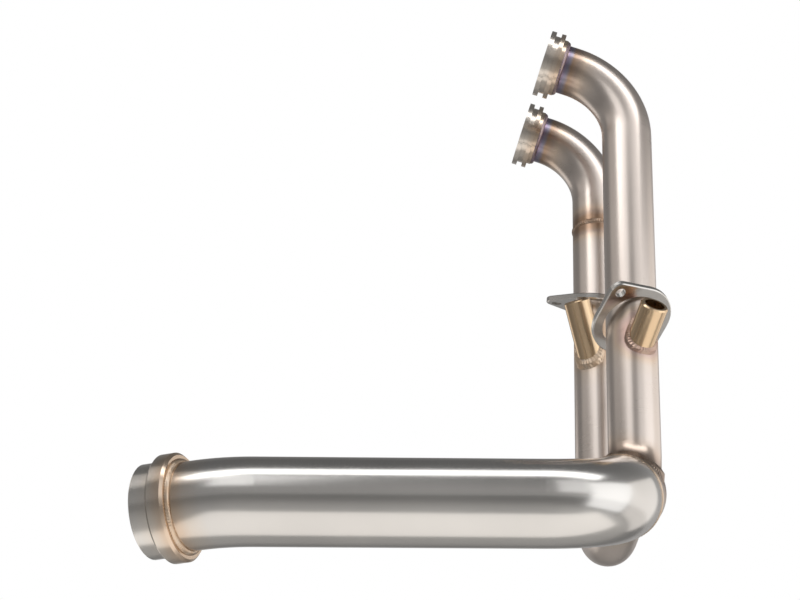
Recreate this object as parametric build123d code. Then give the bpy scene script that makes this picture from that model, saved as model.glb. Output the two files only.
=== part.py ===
from build123d import *
import os
from math import cos, radians, sin, sqrt

# Two-into-one stainless exhaust header for a parallel-twin motorcycle.
# Origin at the mouth of the right port spigot, +X forward, +Y to the rider's left, +Z up,
# in millimetres and degrees. Gas leaves the two ports, runs down the head pipes, merges in
# the collector and leaves rearward through the main pipe.

# Tube stock
WALL = 1.5
HEAD_OD = 42.0
MAIN_OD = 65.0

# Exhaust ports: level with each other, facing forward and down
PORT_SPACING = 114.0
PORT_DIP = 16.0

# Turned port spigots: nose ring, gasket groove, clamp ring and weld neck
SPIGOT_RING_OD = 57.6
SPIGOT_GROOVE_OD = 51.0
SPIGOT_NECK_OD = 49.0
NOSE_LENGTH = 4.2
GROOVE_LENGTH = 4.8
CLAMP_RING_LENGTH = 3.8
NECK_LENGTH = 3.2
SPIGOT_SEAT = 4.0
SPIGOT_EDGE = 0.6

# Head pipes
HEAD_CLR = 64.0
RIGHT_LEG = 10.5
LEFT_LEG = 6.0
TUBE_LEAN = 0.8
LOWER_CLR = 46.0
RIGHT_BEND_RISE = 37.7
RIGHT_LOWER_TURN = 40.0
RIGHT_LOWER_SWEEP = 20.0
RIGHT_LOWER_TAIL = 25.0
LEFT_BEND_TAIL = 31.0
LEFT_TUBE_LENGTH = 256.0
LOWER_LEG = 8.0
CROSSOVER_RISE = 8.0
CROSSOVER_SWEEP = 1.8

# Collector: a pressed pod with a domed back that flares to the main pipe
COLLECTOR_OD = 63.0
COLLECTOR_DESCENT = 26.0
COLLECTOR_SWEEP = 20.0
COLLECTOR_BARREL = 14.0
COLLECTOR_LENGTH = 40.0
COLLECTOR_LIP = 6.0

# Main pipe: elbow, straight run rearward and outlet bend inward
MAIN_LEG = 18.0
ELBOW_CLR = 65.0
MAIN_LENGTH = 207.0
MAIN_TOE_IN = 4.0
MAIN_FALL = 1.5
OUTLET_CLR = 120.0
OUTLET_TURN = 22.0
OUTLET_LEG = 11.0

# Turned outlet fitting: collar and a socket for the silencer pipe
COLLAR_OD = 80.0
COLLAR_LENGTH = 14.0
COLLAR_SEAT = 5.0
COLLAR_EDGE = 2.0
SOCKET_OD = 70.0
SOCKET_LENGTH = 15.0
SOCKET_BORE = 65.6
SOCKET_DEPTH = 21.0
SOCKET_EDGE = 1.0

# Sensor bungs: turned sleeves for an M18 x 1.5 thread, welded to the down tubes
BUNG_OD = 23.0
THREAD_BORE = 16.5
THREAD_LENGTH = 13.0
SENSOR_PASSAGE = 15.0
BUNG_EDGE = 1.2
RIGHT_BUNG_ANGLE = 54.0
RIGHT_BUNG_REACH = 54.0
RIGHT_BUNG_DROP = 216.0
RIGHT_BUNG_TURN = 13.0
LEFT_BUNG_ANGLE = 33.0
LEFT_BUNG_REACH = 76.0
LEFT_BUNG_DROP = 184.0
LEFT_BUNG_TURN = -37.0

# Loose port flanges: they slide on the down tubes and lie tilted on the bungs
FLANGE_HOLE = 52.0
FLANGE_RIM = 8.0
FLANGE_THICK = 5.0
FLANGE_EDGE = 0.8
FLANGE_REST_GAP = 0.3
STUD_SPACING = 72.0
STUD_HOLE = 8.6
EAR_RADIUS = 9.0
RIGHT_FLANGE_TILT = 28.0
RIGHT_FLANGE_LOW_SIDE = -145.0
RIGHT_FLANGE_TURN = -21.0
RIGHT_FLANGE_LIFT = 13.0
LEFT_FLANGE_TILT = 15.0
LEFT_FLANGE_LOW_SIDE = 12.0
LEFT_FLANGE_TURN = -95.0
LEFT_FLANGE_LIFT = 0.0

# Fits and weld beads
SLIP = 0.1
FILLET_BEAD = 3.0
BUTT_BEAD_WIDTH = 5.0
BUTT_BEAD_HEIGHT = 0.9
SADDLE_BEAD = 2.6

HEAD_R = HEAD_OD / 2
HEAD_BORE_R = HEAD_R - WALL
MAIN_R = MAIN_OD / 2
MAIN_BORE_R = MAIN_R - WALL
BUNG_R = BUNG_OD / 2
SPIGOT_LENGTH = NOSE_LENGTH + GROOVE_LENGTH + CLAMP_RING_LENGTH + NECK_LENGTH
DOWN = Vector(0, 0, -1)
LEFTWARD = Vector(0, 1, 0)


def compass(turn, rise=0.0):
    """Unit vector: turn 0 points to the rider's right, 90 forward and -90 rearward."""
    across, up = radians(turn), radians(rise)
    return Vector(sin(across) * cos(up), -cos(across) * cos(up), sin(up))


def square_to(direction, axis):
    """The part of a direction that is square to an axis, as a unit vector."""
    return (direction - axis * direction.dot(axis)).normalized()


class Route:
    """A tube's centre-line, drawn as straight runs and tangent arcs."""

    def __init__(self, start, heading):
        self.start = start
        self.first_heading = heading.normalized()
        self.at = start
        self.heading = self.first_heading
        self.edges = []

    def straight(self, length):
        end = self.at + self.heading * length
        self.edges.append(Line(self.at, end))
        self.at = end
        return self

    def bend(self, towards, radius, angle):
        start, ahead = self.at, self.heading
        side = square_to(towards, ahead)
        turn = radians(angle)

        def on_arc(swing):
            return start + side * (radius * (1 - cos(swing))) + ahead * (radius * sin(swing))

        self.edges.append(ThreePointArc(start, on_arc(turn / 2), on_arc(turn)))
        self.at = on_arc(turn)
        self.heading = (ahead * cos(turn) + side * sin(turn)).normalized()
        return self

    def bar(self, radius):
        section = Plane(self.start, z_dir=self.first_heading) * Circle(radius)
        return sweep(section, path=Wire(self.edges))

    def tube(self, outer_radius):
        return self.bar(outer_radius) - self.bar(outer_radius - WALL)


def rod(start, direction, radius, length):
    return extrude(Plane(start, z_dir=direction) * Circle(radius), amount=length)


def turned(profile, start, axis):
    """A turned piece: the profile's X is the radius and its Y runs along the axis."""
    return Plane(start, z_dir=axis) * revolve(Plane.XZ * profile, axis=Axis.Z)


def butt_bead(centre, axis, radius):
    """A low crowned ring over the butt weld between two tube ends."""
    low, high = (radius, -BUTT_BEAD_WIDTH / 2), (radius, BUTT_BEAD_WIDTH / 2)
    crown = ThreePointArc(low, (radius + BUTT_BEAD_HEIGHT, 0), high)
    return turned(make_face([crown, Line(high, low)]), centre, axis)


def fillet_bead(shoulder, axis, radius):
    """A full-bellied ring in the corner between a shoulder and the tube that leaves it."""
    corner, face_toe, tube_toe = (radius, 0), (radius + FILLET_BEAD, 0), (radius, FILLET_BEAD)
    belly = FILLET_BEAD * cos(radians(45))
    crown = ThreePointArc(face_toe, (radius + belly, belly), tube_toe)
    return turned(make_face([Line(corner, face_toe), crown, Line(tube_toe, corner)]), shoulder, axis)


def port_spigot(mouth, inward):
    """Nose ring, gasket groove, clamp ring and neck, with the tube's seat in the neck."""
    ring_r, groove_r, neck_r = SPIGOT_RING_OD / 2, SPIGOT_GROOVE_OD / 2, SPIGOT_NECK_OD / 2
    seat_r = HEAD_R + SLIP
    clamp_at = NOSE_LENGTH + GROOVE_LENGTH
    neck_at = clamp_at + CLAMP_RING_LENGTH
    seat_at = SPIGOT_LENGTH - SPIGOT_SEAT
    outline = Polyline(
        (HEAD_BORE_R + SPIGOT_EDGE, 0), (ring_r, 0), (ring_r, NOSE_LENGTH),
        (groove_r, NOSE_LENGTH), (groove_r, clamp_at), (ring_r, clamp_at),
        (ring_r, neck_at), (neck_r, neck_at), (neck_r, SPIGOT_LENGTH), (seat_r, SPIGOT_LENGTH),
        (seat_r, seat_at), (HEAD_BORE_R, seat_at), (HEAD_BORE_R, SPIGOT_EDGE), close=True)
    return turned(make_face(outline), mouth, inward)


def outlet_fitting(tube_end, axis):
    """Collar with a seat for the main pipe's end, and a socket for the silencer pipe."""
    collar_r, socket_r, bore_r = COLLAR_OD / 2, SOCKET_OD / 2, SOCKET_BORE / 2
    seat_r = MAIN_R + SLIP
    length = COLLAR_LENGTH + SOCKET_LENGTH
    socket_at = length - SOCKET_DEPTH
    outline = Polyline(
        (seat_r, 0), (collar_r - COLLAR_EDGE, 0), (collar_r, COLLAR_EDGE),
        (collar_r, COLLAR_LENGTH - COLLAR_EDGE), (collar_r - COLLAR_EDGE, COLLAR_LENGTH),
        (socket_r, COLLAR_LENGTH), (socket_r, length - SOCKET_EDGE), (socket_r - SOCKET_EDGE, length),
        (bore_r, length), (bore_r, socket_at), (MAIN_BORE_R, socket_at),
        (MAIN_BORE_R, COLLAR_SEAT), (seat_r, COLLAR_SEAT), close=True)
    return turned(make_face(outline), tube_end - axis * COLLAR_SEAT, axis)


def head_route(mouth, inward, leg):
    """From the seat in the spigot, along the leg and round the head bend."""
    route = Route(mouth + inward * (SPIGOT_LENGTH - SPIGOT_SEAT), inward)
    return route.straight(SPIGOT_SEAT + leg).bend(DOWN, HEAD_CLR, 90 - PORT_DIP + TUBE_LEAN)


def collector_solid(centre, axis, grow=0.0):
    """The pod's outside as a closed solid, grown by a margin and domed about its centre."""
    pod_r, lip_r = COLLECTOR_OD / 2 + grow, MAIN_R + grow
    flank = pod_r * cos(radians(45))
    dome = ThreePointArc((0, -pod_r), (flank, -flank), (pod_r, 0))
    walls = Polyline(
        (pod_r, 0), (pod_r, COLLECTOR_BARREL), (lip_r, COLLECTOR_LENGTH - COLLECTOR_LIP),
        (lip_r, COLLECTOR_LENGTH), (0, COLLECTOR_LENGTH), (0, -pod_r))
    return turned(make_face([*dome.edges(), *walls.edges()]), centre, axis)


class Bung:
    """A sensor bung on a down tube: its axis, sleeve, weld and hole."""

    def __init__(self, tube_top, tube_axis, angle, reach, drop, turn):
        self.tube_axis = tube_axis
        self.reach = reach
        self.foot = tube_top + tube_axis * drop
        slant = radians(angle)
        outward = square_to(compass(turn), tube_axis)
        self.axis = outward * sin(slant) - tube_axis * cos(slant)
        self.end = self.foot + self.axis * reach

    def tube_bar(self, radius):
        return rod(self.foot - self.tube_axis * self.reach, self.tube_axis, radius, 2 * self.reach)

    def hole(self):
        """The sensor's passage through tube and sleeve, with the thread's bore at its mouth."""
        thread = rod(self.end - self.axis * THREAD_LENGTH, self.axis, THREAD_BORE / 2, THREAD_LENGTH)
        return rod(self.foot, self.axis, SENSOR_PASSAGE / 2, self.reach) + thread

    def sleeve(self):
        bar = rod(self.foot, self.axis, BUNG_R, self.reach)
        bar = chamfer(bar.edges().sort_by(Axis(self.foot, self.axis))[-1], BUNG_EDGE)
        return bar - self.tube_bar(HEAD_R) - self.hole()

    def weld(self):
        collar = rod(self.foot, self.axis, BUNG_R + SADDLE_BEAD, self.reach)
        collar -= rod(self.foot, self.axis, BUNG_R, self.reach)
        return (collar & self.tube_bar(HEAD_R + SADDLE_BEAD)) - self.tube_bar(HEAD_R)


class Flange:
    """A loose two-stud flange, tilted on its tube and resting on the bung's rim or caught above it."""

    def __init__(self, bung, tilt, low_side, turn, lift):
        lean = radians(tilt)
        up_tube = bung.tube_axis * -1
        self.normal = up_tube * cos(lean) + square_to(compass(low_side), up_tube) * sin(lean)
        self.ear = square_to(compass(turn), self.normal)
        facing = self.normal.dot(bung.axis)
        slope = sqrt(1 - facing * facing)
        # The bung's chamfer leaves two rims, and the plate rests on the higher one
        rim_rise = max((BUNG_R - BUNG_EDGE) * slope, BUNG_R * slope - BUNG_EDGE * facing)
        level = self.normal.dot(bung.end) + rim_rise + FLANGE_REST_GAP + FLANGE_THICK / 2
        climb = (level - self.normal.dot(bung.foot)) / self.normal.dot(up_tube)
        self.centre = bung.foot + up_tube * (climb + lift)

    def plate(self):
        plane = Plane(self.centre, x_dir=self.ear, z_dir=self.normal)
        studs = [Pos(end * STUD_SPACING / 2, 0) for end in (-1, 1)]
        disc = Circle(FLANGE_HOLE / 2 + FLANGE_RIM)
        ears = [stud * Circle(EAR_RADIUS) for stud in studs]
        outline = make_hull([*disc.edges(), *[ear.edge() for ear in ears]])
        body = extrude(plane * outline, amount=FLANGE_THICK / 2, both=True)
        levels = body.edges().group_by(Axis(self.centre, self.normal))
        body = chamfer(levels[0] + levels[-1], FLANGE_EDGE)
        for hole in [Circle(FLANGE_HOLE / 2), *[stud * Circle(STUD_HOLE / 2) for stud in studs]]:
            body -= extrude(plane * hole, amount=FLANGE_THICK, both=True)
        return body


# Head pipes, from the port mouths down
port_inward = compass(90, -PORT_DIP)
right_mouth = Vector(0, 0, 0)
left_mouth = Vector(0, PORT_SPACING, 0)
right_route = head_route(right_mouth, port_inward, RIGHT_LEG)
right_top = right_route.at
tube_axis = right_route.heading
left_bend_route = head_route(left_mouth, port_inward, LEFT_LEG)
left_top = left_bend_route.at
left_bend_route.straight(LEFT_BEND_TAIL)
left_tube_route = Route(left_bend_route.at, tube_axis).straight(LEFT_TUBE_LENGTH)

# The left pipe crosses to the right tube's plane, where the collector is centred
lower_route = Route(left_tube_route.at, tube_axis).straight(LOWER_LEG)
lower_route.bend(compass(-CROSSOVER_SWEEP), LOWER_CLR, 90 + CROSSOVER_RISE)
crossover = lower_route.heading
lower_route.straight((lower_route.at.Y - right_mouth.Y) / -crossover.Y)
merge_centre = lower_route.at
collector_axis = compass(-COLLECTOR_SWEEP, -COLLECTOR_DESCENT)

# The right pipe bends over the collector's shoulder and runs into its flank
right_route.straight((merge_centre - right_top).dot(tube_axis) - RIGHT_BEND_RISE)
right_route.bend(compass(-RIGHT_LOWER_SWEEP), LOWER_CLR, RIGHT_LOWER_TURN).straight(RIGHT_LOWER_TAIL)

# Main pipe, from the collector's lip to the outlet
lip_centre = merge_centre + collector_axis * COLLECTOR_LENGTH
main_axis = compass(-90 - MAIN_TOE_IN, -MAIN_FALL)
main_route = Route(lip_centre, collector_axis).straight(MAIN_LEG)
main_route.bend(main_axis, ELBOW_CLR, collector_axis.get_angle(main_axis)).straight(MAIN_LENGTH)
main_route.bend(LEFTWARD, OUTLET_CLR, OUTLET_TURN).straight(OUTLET_LEG)
outlet_end = main_route.at
outlet_axis = main_route.heading

right_bung = Bung(
    right_top, tube_axis, RIGHT_BUNG_ANGLE, RIGHT_BUNG_REACH, RIGHT_BUNG_DROP, RIGHT_BUNG_TURN)
left_bung = Bung(
    left_top, tube_axis, LEFT_BUNG_ANGLE, LEFT_BUNG_REACH, LEFT_BUNG_DROP, LEFT_BUNG_TURN)
right_flange = Flange(
    right_bung, RIGHT_FLANGE_TILT, RIGHT_FLANGE_LOW_SIDE, RIGHT_FLANGE_TURN, RIGHT_FLANGE_LIFT)
left_flange = Flange(
    left_bung, LEFT_FLANGE_TILT, LEFT_FLANGE_LOW_SIDE, LEFT_FLANGE_TURN, LEFT_FLANGE_LIFT)

# The pod, the two bores that open it and the beads round the pipes that enter it
pod = collector_solid(merge_centre, collector_axis)
pod_inside = collector_solid(merge_centre, collector_axis, -WALL)
pod_with_bead = collector_solid(merge_centre, collector_axis, SADDLE_BEAD)
head_bores = right_route.bar(HEAD_BORE_R) + lower_route.bar(HEAD_BORE_R)


def merge_weld(route):
    """A bead round a head pipe where it is cut to the pod's surface."""
    sleeve = route.bar(HEAD_R + SADDLE_BEAD) - route.bar(HEAD_R)
    return (sleeve & pod_with_bead) - pod


nodes = {
    "right_port_spigot": port_spigot(right_mouth, port_inward),
    "left_port_spigot": port_spigot(left_mouth, port_inward),
    "right_head_pipe": right_route.tube(HEAD_R) - pod - right_bung.hole(),
    "left_head_bend": left_bend_route.tube(HEAD_R),
    "left_down_tube": left_tube_route.tube(HEAD_R) - left_bung.hole(),
    "left_lower_bend": lower_route.tube(HEAD_R) - pod,
    "collector_body": pod - pod_inside - head_bores,
    "main_pipe": main_route.tube(MAIN_R),
    "outlet_fitting": outlet_fitting(outlet_end, outlet_axis),
    "right_sensor_bung": right_bung.sleeve(),
    "left_sensor_bung": left_bung.sleeve(),
    "right_port_flange": right_flange.plate(),
    "left_port_flange": left_flange.plate(),
    "right_spigot_weld": fillet_bead(right_mouth + port_inward * SPIGOT_LENGTH, port_inward, HEAD_R),
    "left_spigot_weld": fillet_bead(left_mouth + port_inward * SPIGOT_LENGTH, port_inward, HEAD_R),
    "left_upper_weld": butt_bead(left_bend_route.at, tube_axis, HEAD_R),
    "left_lower_weld": butt_bead(left_tube_route.at, tube_axis, HEAD_R),
    "right_merge_weld": merge_weld(right_route),
    "left_merge_weld": merge_weld(lower_route),
    "elbow_weld": butt_bead(lip_centre, collector_axis, MAIN_R),
    "outlet_weld": fillet_bead(outlet_end - outlet_axis * COLLAR_SEAT, outlet_axis * -1, MAIN_R),
    "right_sensor_weld": right_bung.weld(),
    "left_sensor_weld": left_bung.weld(),
}

os.makedirs("parts", exist_ok=True)
for name, piece in nodes.items():
    export_step(piece, f"parts/{name}.step")
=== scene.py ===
import math

import bmesh
import bpy
import numpy as np
from mathutils import Matrix, Vector


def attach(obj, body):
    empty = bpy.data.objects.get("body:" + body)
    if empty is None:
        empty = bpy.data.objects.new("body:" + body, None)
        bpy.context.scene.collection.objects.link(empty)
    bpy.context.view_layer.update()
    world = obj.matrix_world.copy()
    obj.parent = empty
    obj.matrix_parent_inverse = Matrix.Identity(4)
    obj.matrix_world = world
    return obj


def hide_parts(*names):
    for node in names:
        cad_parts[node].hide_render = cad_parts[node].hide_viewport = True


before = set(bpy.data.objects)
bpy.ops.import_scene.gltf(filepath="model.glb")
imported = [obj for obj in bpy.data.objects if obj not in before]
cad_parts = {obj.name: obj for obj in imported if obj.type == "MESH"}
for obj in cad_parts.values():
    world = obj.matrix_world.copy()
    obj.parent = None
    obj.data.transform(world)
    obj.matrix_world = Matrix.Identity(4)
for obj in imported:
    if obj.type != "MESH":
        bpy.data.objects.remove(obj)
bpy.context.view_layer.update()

# Looks of a stainless two-into-one exhaust header: satin tube with heat tint beside the welds,
# rippled weld beads, turned ends and loose flanges. Metres, in the CAD's frame.

# Camera: below the part and on its right side, looking up
CAMERA_AT = Vector((-0.262, -1.419, -1.001))
CAMERA_AZIMUTH = -5.7
CAMERA_ELEVATION = -28.0
CAMERA_ROLL = 1.15
CAMERA_LENS = 90.0
SENSOR_WIDTH = 36.0
CLIP_NEAR = 0.05
CLIP_FAR = 50.0

# Studio: a room that goes from dim to bright along X and darkens overhead
FLOOR_LEVEL = -1.15
FLOOR_SIZE = 60.0
FLOOR_COLOUR = (0.84, 0.83, 0.81, 1)
WHITE = (1, 1, 1, 1)
ROOM_DIM = (0.20, 0.195, 0.19, 1)
ROOM_BRIGHT = (0.42, 0.41, 0.40, 1)
ROOM_TURN = 0.9
ROOM_FADE_FROM = 0.2
ROOM_FADE_TO = 0.9
ROOM_OVERHEAD = 0.1
BACKDROP_IN_METAL = 0.12
BACKDROP_ON_FLOOR = 0.9

# Lights: what each is aimed at, its offset from there, width, height, radiance and colour
NEUTRAL = (1, 1, 1)
WARM = (1.0, 0.95, 0.90)
MAIN_PIPE = Vector((-0.12, -0.055, -0.45))
TUBES = Vector((0.067, 0.0, -0.33))
UNDERSIDE = Vector((0.2, -0.24, 0))
BOUNCE_LEVEL = FLOOR_LEVEL + 0.02
SOFTBOXES = {
    "strip_overhead": (MAIN_PIPE, (0, -0.75, 1.295), 2.4, 0.42, 2.8, NEUTRAL),
    "box_left": (TUBES, (-0.70, -1.23, 0.72), 0.66, 0.75, 0.98, NEUTRAL),
    "box_front": (TUBES, (0.56, -1.34, 0.55), 0.75, 0.9, 0.6, NEUTRAL),
    "box_right": (TUBES, (1.27, -0.75, 0.1), 1.2, 1.6, 1.1, NEUTRAL),
    "panel_right": (TUBES, (1.45, 0.5, 0.15), 1.5, 1.8, 0.7, WARM),
    "panel_left": (TUBES, (-1.15, -0.35, 0.9), 1.5, 0.65, 0.35, WARM),
    "panel_back": (TUBES, (-0.85, 1.2, -0.05), 0.5, 1.5, 0.7, WARM),
    "bounce_below": (UNDERSIDE, (0, 0, BOUNCE_LEVEL), 1.8, 0.95, 0.68, WARM)}

# Steel, as linear colours
MAIN_STEEL = (0.640, 0.625, 0.605)
HEAD_STEEL = (0.670, 0.600, 0.552)
TURNED_STEEL = (0.700, 0.680, 0.650)
FLANGE_STEEL = (0.620, 0.600, 0.575)
BUNG_STEEL = (0.690, 0.510, 0.330)
WELD_STEEL = (0.500, 0.390, 0.310)
STRAW = (0.660, 0.475, 0.320)
PALE_STRAW = (0.680, 0.575, 0.470)
BROWN = (0.330, 0.200, 0.120)
# Heat-tint brown darkened into painted shade, for the shaded crotch between the right pipe and
# the collector
BROWN_WITH_PAINTED_SHADE = (0.170, 0.115, 0.085)
ROSE = (0.500, 0.320, 0.270)
PURPLE = (0.220, 0.160, 0.260)
BLUE = (0.190, 0.190, 0.280)

# Heat tint outward from a weld, with painted shade added in the crotch: distance in metres,
# colour, strength
BLUE_TINT = [
    (0.000, BROWN, 0.7), (0.002, PURPLE, 0.9), (0.005, BLUE, 0.85), (0.008, BROWN, 0.85),
    (0.013, BROWN, 0.6), (0.018, STRAW, 0.5), (0.034, PALE_STRAW, 0.0)]
# Real heat tint at the right merge weld, darkened near the weld into painted shade where the
# crotch lies in shade
CROTCH_TINT_AND_PAINTED_SHADE = [
    (0.000, BROWN_WITH_PAINTED_SHADE, 0.9), (0.006, BROWN_WITH_PAINTED_SHADE, 0.8), (0.011, BROWN, 0.5),
    (0.018, STRAW, 0.3), (0.028, PALE_STRAW, 0.0)]
BROWN_TINT = [
    (0.000, BROWN, 0.9), (0.006, BROWN, 0.85), (0.010, BROWN, 0.6), (0.014, STRAW, 0.5),
    (0.020, PALE_STRAW, 0.3), (0.030, PALE_STRAW, 0.0)]
ROSE_TINT = [
    (0.000, ROSE, 0.8), (0.004, ROSE, 0.6), (0.008, STRAW, 0.5),
    (0.014, PALE_STRAW, 0.3), (0.024, PALE_STRAW, 0.0)]
STRAW_TINT = [
    (0.000, STRAW, 0.8), (0.006, STRAW, 0.6), (0.012, PALE_STRAW, 0.5),
    (0.026, PALE_STRAW, 0.0)]
FAINT_TINT = [
    (0.000, PALE_STRAW, 0.5), (0.008, PALE_STRAW, 0.3), (0.020, PALE_STRAW, 0.0)]
TINT_RADII = 1.9
TINT_WOBBLE = 0.0022
TINT_WOBBLE_SCALE = 90.0

# Finish: roughness of each steel, and the grain and mottling that all of them have
MAIN_ROUGHNESS = 0.21
HEAD_ROUGHNESS = 0.29
COLLECTOR_ROUGHNESS = 0.30
SPIGOT_ROUGHNESS = 0.24
FITTING_ROUGHNESS = 0.22
GRAIN_PITCH = 1400.0
GRAIN_REACH = 45.0
GRAIN_DETAIL = 3.0
GRAIN_DEPTH = 0.00003
GRAIN_BUMP = 0.08
GRAIN_ROUGHNESS = 0.03
MOTTLE_SCALE = 16.0
MOTTLE_DETAIL = 4.0
MOTTLE_DEPTH = 0.07
MOTTLE_ROUGHNESS = 0.03

# Weld beads: patches of tint, fine pitting and ripples
PATCH_SCALE = 160.0
PATCH_DETAIL = 3.0
PATCH_LOW, PATCH_HIGH = -0.4, 1.4
WELD_SMOOTH, WELD_ROUGH = 0.22, 0.42
PIT_SCALE = 1500.0
PIT_DEPTH = 0.0001
PIT_BUMP = 0.3
RIPPLE_PITCH = 0.0022
RIPPLE_DEPTH = 0.00035
RIPPLE_SWEEP = 260.0
FEWEST_RIPPLES = 8
LONGEST_EDGE = 0.00105
MOST_SUBDIVISIONS = 6

# Pieces made from a CAD node's mesh
JOIN_DISTANCE = 1e-6
SHARP_ANGLE = 42.0


class Graph:
    """A node tree written as calls: each returns a node whose sockets feed the next."""

    def __init__(self, tree):
        self.tree = tree
        tree.nodes.clear()

    def feed(self, socket, value):
        """Link the value to the socket if it is another node's output, or else set it."""
        if isinstance(value, bpy.types.NodeSocket):
            self.tree.links.new(value, socket)
        else:
            socket.default_value = value

    def add(self, kind, inputs=(), **settings):
        made = self.tree.nodes.new("ShaderNode" + kind)
        for name, value in settings.items():
            setattr(made, name, value)
        named = inputs.items() if isinstance(inputs, dict) else enumerate(inputs)
        for key, value in named:
            self.feed(made.inputs[key], value)
        return made

    def math(self, operation, *inputs, clamp=False):
        return self.add("Math", inputs, operation=operation, use_clamp=clamp).outputs[0]

    def vector(self, operation, *inputs):
        made = self.add("VectorMath", inputs, operation=operation)
        return made.outputs["Value" if operation in ("LENGTH", "DOT_PRODUCT") else "Vector"]

    def noise(self, position, scale, detail=2.0):
        inputs = {"Vector": position, "Scale": scale, "Detail": detail}
        return self.add("TexNoise", inputs).outputs["Fac"]

    def between(self, value, low, high):
        """The value, which runs from 0 to 1, set to run from low to high."""
        inputs = {"Value": value, "To Min": low, "To Max": high}
        return self.add("MapRange", inputs).outputs["Result"]

    def mix(self, factor, a, b, blend="MIX"):
        made = self.add("Mix", data_type="RGBA", blend_type=blend)
        for key, value in ((0, factor), (6, a), (7, b)):
            self.feed(made.inputs[key], value)
        return made.outputs[2]

    def bump(self, strength, depth, height):
        inputs = {"Strength": strength, "Distance": depth, "Height": height}
        return self.add("Bump", inputs).outputs["Normal"]

    def ramp(self, value, stops):
        """A colour ramp over (position, colour, alpha) stops."""
        made = self.add("ValToRGB", [value])
        elements = made.color_ramp.elements
        while len(elements) < len(stops):
            elements.new(1.0)
        for element, (position, colour, alpha) in zip(elements, stops):
            element.position = position
            element.color = (*colour, alpha)
        return made

    def metal(self, colour, roughness, normal):
        """End the tree with a metal of this colour, roughness and normal."""
        shader = self.add("BsdfPrincipled", {
            "Base Color": colour, "Metallic": 1.0, "Roughness": roughness, "Normal": normal})
        self.add("OutputMaterial", [shader.outputs["BSDF"]])


class Ring:
    """A weld's centre, axis and mean radius, measured from its CAD node."""

    def __init__(self, node):
        points = np.array([v.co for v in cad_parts[node].data.vertices])
        middle = points.mean(0)
        axes = np.linalg.svd(points - middle, full_matrices=False)[2]
        local = (points - middle) @ axes.T
        middle = middle + (local.min(0) + local.max(0)) / 2 @ axes
        local = (points - middle) @ axes.T
        self.centre = Vector(middle)
        self.axes = axes
        self.axis = Vector(axes[2])
        self.radius = float(np.hypot(local[:, 0], local[:, 1]).mean())


def ring_distance(graph, position, ring):
    """Distance along a tube from a ring weld, large away from that tube."""
    offset = graph.vector("SUBTRACT", position, ring.centre)
    along = graph.math("ABSOLUTE", graph.vector("DOT_PRODUCT", offset, ring.axis))
    away = graph.math("SUBTRACT", graph.vector("LENGTH", offset), TINT_RADII * ring.radius)
    return graph.math("ADD", along, graph.math("MAXIMUM", away, 0.0))


def spot_distance(graph, position, ring):
    """Distance outside a small closed weld, such as the one round a bung."""
    offset = graph.vector("SUBTRACT", position, ring.centre)
    return graph.math("SUBTRACT", graph.vector("LENGTH", offset), ring.radius)


def tinted(graph, colour, position, tints):
    """The colour with each weld's heat tint laid over it, and the painted shade that the
    crotch's table carries.
    """
    wobble = graph.noise(position, TINT_WOBBLE_SCALE)
    wobble = graph.between(wobble, -TINT_WOBBLE, TINT_WOBBLE)
    for node, distance, palette in tints:
        reach = palette[-1][0]
        away = graph.math("ADD", distance(graph, position, Ring(node)), wobble)
        stops = [(at / reach, shade, strength) for at, shade, strength in palette]
        ramp = graph.ramp(graph.math("DIVIDE", away, reach, clamp=True), stops)
        colour = graph.mix(ramp.outputs["Alpha"], colour, ramp.outputs["Color"])
    return colour


def steel(name, base, roughness, grain_axis, tints=()):
    """Satin steel with fine grain round the tube, mottling and heat tint, and painted shade
    where a tint table carries it.
    """
    material = bpy.data.materials.new(name)
    material.use_nodes = True
    graph = Graph(material.node_tree)
    position = graph.add("NewGeometry").outputs["Position"]
    stretch = Vector((GRAIN_REACH,) * 3) + grain_axis * (GRAIN_PITCH - GRAIN_REACH)
    grain = graph.noise(graph.vector("MULTIPLY", position, stretch), 1.0, GRAIN_DETAIL)
    mottle = graph.noise(position, MOTTLE_SCALE, MOTTLE_DETAIL)
    shade = graph.between(mottle, 1.0 - MOTTLE_DEPTH, 1.0 + MOTTLE_DEPTH)
    colour = graph.mix(1.0, (*base, 1), shade, blend="MULTIPLY")
    colour = tinted(graph, colour, position, tints)
    rough = graph.math("ADD", graph.between(grain, -GRAIN_ROUGHNESS, GRAIN_ROUGHNESS),
                       graph.between(mottle, -MOTTLE_ROUGHNESS, MOTTLE_ROUGHNESS))
    graph.metal(colour, graph.math("ADD", rough, roughness),
                graph.bump(GRAIN_BUMP, GRAIN_DEPTH, grain))
    return material


def weld_steel(name, base, edge):
    """A bead whose colour runs from its crown to the tint at its toes in patches."""
    material = bpy.data.materials.new(name)
    material.use_nodes = True
    graph = Graph(material.node_tree)
    position = graph.add("NewGeometry").outputs["Position"]
    patches = graph.noise(position, PATCH_SCALE, PATCH_DETAIL)
    pits = graph.noise(position, PIT_SCALE)
    share = graph.between(patches, PATCH_LOW, PATCH_HIGH)
    graph.metal(graph.mix(share, (*base, 1), (*edge, 1)),
                graph.between(patches, WELD_SMOOTH, WELD_ROUGH),
                graph.bump(PIT_BUMP, PIT_DEPTH, pits))
    return material


def joined_shape(node):
    """The node's faces joined at their shared points."""
    shape = bmesh.new()
    shape.from_mesh(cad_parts[node].data)
    bmesh.ops.remove_doubles(shape, verts=shape.verts, dist=JOIN_DISTANCE)
    return shape


def put_in_place(shape, node, material, body):
    """The shape as a smooth-shaded piece in the node's place."""
    mesh = bpy.data.meshes.new(node + "_dressed")
    shape.to_mesh(mesh)
    shape.free()
    if "custom_normal" in mesh.attributes:
        mesh.attributes.remove(mesh.attributes["custom_normal"])
    mesh.polygons.foreach_set("use_smooth", [True] * len(mesh.polygons))
    mesh.set_sharp_from_angle(angle=math.radians(SHARP_ANGLE))
    mesh.materials.append(material)
    piece = bpy.data.objects.new(node + "_dressed", mesh)
    bpy.context.collection.objects.link(piece)
    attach(piece, body)
    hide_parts(node)


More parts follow.
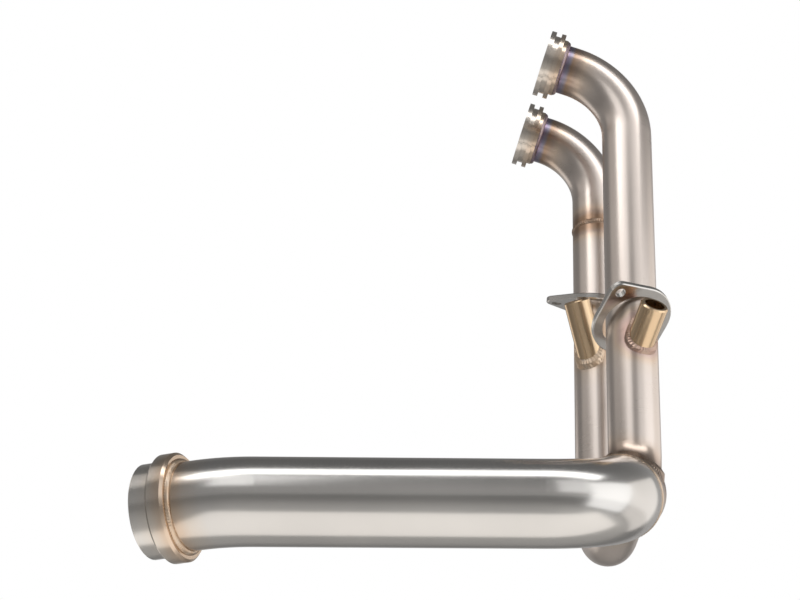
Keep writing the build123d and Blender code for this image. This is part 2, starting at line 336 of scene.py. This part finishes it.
def rippled_weld(node, material):
    """The node's bead with the overlapping ripples of a hand weld, in the node's place."""
    ring = Ring(node)
    shape = joined_shape(node)
    for _ in range(MOST_SUBDIVISIONS):
        long_edges = [edge for edge in shape.edges if edge.calc_length() > LONGEST_EDGE]
        if not long_edges:
            break
        bmesh.ops.subdivide_edges(shape, edges=long_edges, cuts=1)
        bmesh.ops.triangulate(shape, faces=shape.faces)
    shape.normal_update()
    ripples = max(round(2 * math.pi * ring.radius / RIPPLE_PITCH), FEWEST_RIPPLES)
    moves = []
    for vertex in shape.verts:
        across, along, aside = ring.axes @ np.array(vertex.co - ring.centre)
        sweep = RIPPLE_SWEEP * abs(aside) * 2 * math.pi
        phase = math.atan2(along, across) * ripples + sweep
        moves.append(vertex.normal * (RIPPLE_DEPTH * (math.sin(phase) - 1) / 2))
    for vertex, move in zip(shape.verts, moves):
        vertex.co += move
    put_in_place(shape, node, material, "header")


def dress_pipes(along_x, along_z):
    """Satin steel on the CAD's pipes and collector, tinted beside their welds, with painted
    shade in the crotch at the right merge weld.
    """
    main = steel("main_pipe_steel", MAIN_STEEL, MAIN_ROUGHNESS, along_x, [
        ("outlet_weld", ring_distance, STRAW_TINT),
        ("elbow_weld", ring_distance, FAINT_TINT)])
    right = steel("right_pipe_steel", HEAD_STEEL, HEAD_ROUGHNESS, along_z, [
        ("right_spigot_weld", ring_distance, BLUE_TINT),
        ("right_sensor_weld", spot_distance, ROSE_TINT),
        # heat tint with painted shade in the crotch
        ("right_merge_weld", ring_distance, CROTCH_TINT_AND_PAINTED_SHADE)])
    left = steel("left_pipe_steel", HEAD_STEEL, HEAD_ROUGHNESS, along_z, [
        ("left_spigot_weld", ring_distance, BLUE_TINT),
        ("left_upper_weld", ring_distance, BROWN_TINT),
        ("left_lower_weld", ring_distance, BROWN_TINT),
        ("left_sensor_weld", spot_distance, STRAW_TINT),
        ("left_merge_weld", ring_distance, BROWN_TINT)])
    pod = steel("collector_steel", HEAD_STEEL, COLLECTOR_ROUGHNESS, along_x, [
        # heat tint with painted shade in the crotch
        ("right_merge_weld", ring_distance, CROTCH_TINT_AND_PAINTED_SHADE),
        ("left_merge_weld", ring_distance, BROWN_TINT),
        ("elbow_weld", ring_distance, FAINT_TINT)])
    looks = {
        "main_pipe": main, "right_head_pipe": right, "left_head_bend": left,
        "left_down_tube": left, "left_lower_bend": left, "collector_body": pod}
    for node, material in looks.items():
        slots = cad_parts[node].data.materials
        slots.clear()
        slots.append(material)


def place_fittings(along_x, along_z):
    """Smooth-shaded turned ends, bungs and flanges in place of the CAD's faceted ones."""
    outlet = steel("outlet_steel", TURNED_STEEL, FITTING_ROUGHNESS, along_x, [
        ("outlet_weld", ring_distance, STRAW_TINT)])
    turned = steel("spigot_steel", TURNED_STEEL, SPIGOT_ROUGHNESS, along_x, [
        ("right_spigot_weld", ring_distance, STRAW_TINT),
        ("left_spigot_weld", ring_distance, STRAW_TINT)])
    bung = steel("bung_steel", BUNG_STEEL, FITTING_ROUGHNESS, along_z)
    flange = steel("flange_steel", FLANGE_STEEL, FITTING_ROUGHNESS, along_z)
    fittings = {
        "outlet_fitting": (outlet, "header", "turned"),
        "right_port_spigot": (turned, "header", "turned"),
        "left_port_spigot": (turned, "header", "turned"),
        "right_sensor_bung": (bung, "header", "bung"),
        "left_sensor_bung": (bung, "header", "bung"),
        "right_port_flange": (flange, "right_flange", "flange"),
        "left_port_flange": (flange, "left_flange", "flange")}
    for node, (material, body, slot) in fittings.items():
        put_in_place(joined_shape(node), node, material, body)


def place_welds():
    """Rippled beads in place of the CAD's plain ones."""
    brown_bead = weld_steel("brown_weld", WELD_STEEL, BROWN)
    straw_bead = weld_steel("straw_weld", PALE_STRAW, STRAW)
    blue_bead = weld_steel("blue_weld", WELD_STEEL, PURPLE)
    rose_bead = weld_steel("rose_weld", WELD_STEEL, ROSE)
    # The crotch bead's toes run into heat-tint brown darkened into painted shade
    crotch_bead_with_painted_shade = weld_steel("crotch_weld_and_painted_shade", WELD_STEEL, BROWN_WITH_PAINTED_SHADE)
    beads = {
        "right_spigot_weld": blue_bead, "left_spigot_weld": blue_bead,
        "left_upper_weld": brown_bead, "left_lower_weld": brown_bead,
        "right_merge_weld": crotch_bead_with_painted_shade, "left_merge_weld": brown_bead,
        "elbow_weld": straw_bead, "outlet_weld": straw_bead,
        "right_sensor_weld": rose_bead, "left_sensor_weld": straw_bead}
    for node, material in beads.items():
        rippled_weld(node, material)


def seen_share(graph, on_camera, in_metal):
    """How far the white backdrop shows: to the camera, and in metal and glass."""
    path = graph.add("LightPath").outputs
    shiny = graph.math("MAXIMUM", path["Is Glossy Ray"], path["Is Transmission Ray"])
    return graph.math("MAXIMUM", graph.math("MULTIPLY", path["Is Camera Ray"], on_camera),
                      graph.math("MULTIPLY", shiny, in_metal))


def studio_room():
    """A dim room, lighter forward of the part and dark overhead, behind a white backdrop."""
    world = bpy.data.worlds.new("studio")
    bpy.context.scene.world = world
    world.use_nodes = True
    graph = Graph(world.node_tree)
    direction = graph.add("TexCoord").outputs["Generated"]
    towards = graph.add("SeparateXYZ", [direction]).outputs
    side = graph.add("MapRange", {
        "Value": towards["X"], "From Min": -ROOM_TURN, "From Max": ROOM_TURN})
    lift = graph.add("MapRange", {
        "Value": towards["Z"], "From Min": ROOM_FADE_FROM, "From Max": ROOM_FADE_TO,
        "To Min": 1.0, "To Max": ROOM_OVERHEAD})
    room = graph.mix(side.outputs["Result"], ROOM_DIM, ROOM_BRIGHT)
    room = graph.mix(1.0, room, lift.outputs["Result"], blend="MULTIPLY")
    colour = graph.mix(seen_share(graph, 1.0, BACKDROP_IN_METAL), room, WHITE)
    graph.add("OutputWorld", [graph.add("Background", [colour]).outputs["Background"]])


def floor():
    """A plain pale floor that keeps a soft shadow."""
    bpy.ops.mesh.primitive_plane_add(size=FLOOR_SIZE, location=(0, 0, FLOOR_LEVEL))
    plane = bpy.context.object
    plane.name = "floor"
    material = bpy.data.materials.new("floor_paper")
    material.use_nodes = True
    graph = Graph(material.node_tree)
    paper = graph.add("BsdfDiffuse", [FLOOR_COLOUR])
    white = graph.add("Emission", [WHITE, 1.0])
    share = seen_share(graph, BACKDROP_ON_FLOOR, BACKDROP_IN_METAL)
    mixed = graph.add("MixShader", [share, paper.outputs[0], white.outputs[0]])
    graph.add("OutputMaterial", [mixed.outputs[0]])
    plane.data.materials.append(material)


def softbox(name, aim, offset, width, height, radiance, colour):
    """A rectangular soft light of a given brightness, turned to its aim."""
    lamp = bpy.data.lights.new(name, "AREA")
    lamp.shape = "RECTANGLE"
    lamp.size, lamp.size_y = width, height
    lamp.energy = math.pi * width * height * radiance
    lamp.color = colour
    light = bpy.data.objects.new(name, lamp)
    bpy.context.collection.objects.link(light)
    place = aim + Vector(offset)
    light.location = place
    light.rotation_euler = (aim - place).to_track_quat("-Z", "Y").to_euler()
    light.visible_camera = False


def studio_lights():
    """A strip overhead, boxes beside the camera, panels round the part and a low bounce."""
    for name, settings in SOFTBOXES.items():
        softbox(name, *settings)


def camera():
    """The photograph's view, with the camera's azimuth, elevation and roll in degrees."""
    azimuth, elevation = math.radians(CAMERA_AZIMUTH), math.radians(CAMERA_ELEVATION)
    ahead = Vector((-math.sin(azimuth) * math.cos(elevation),
                    math.cos(azimuth) * math.cos(elevation),
                    -math.sin(elevation)))
    level = Vector((math.cos(azimuth), math.sin(azimuth), 0))
    turn = Matrix((level, level.cross(ahead), -ahead)).transposed()
    lens = bpy.data.cameras.new("camera")
    lens.lens, lens.sensor_width = CAMERA_LENS, SENSOR_WIDTH
    lens.clip_start, lens.clip_end = CLIP_NEAR, CLIP_FAR
    eye = bpy.data.objects.new("camera", lens)
    bpy.context.collection.objects.link(eye)
    roll = Matrix.Rotation(math.radians(CAMERA_ROLL), 3, "Z")
    eye.matrix_world = Matrix.Translation(CAMERA_AT) @ (turn @ roll).to_4x4()
    bpy.context.scene.camera = eye


def dress_part():
    """Every CAD node's looks, with the grain's axis along X or Z."""
    along_x, along_z = Vector((1, 0, 0)), Vector((0, 0, 1))
    dress_pipes(along_x, along_z)
    place_fittings(along_x, along_z)
    place_welds()


camera()
studio_room()
floor()
studio_lights()
dress_part()
bpy.context.scene.view_settings.view_transform = "Standard"
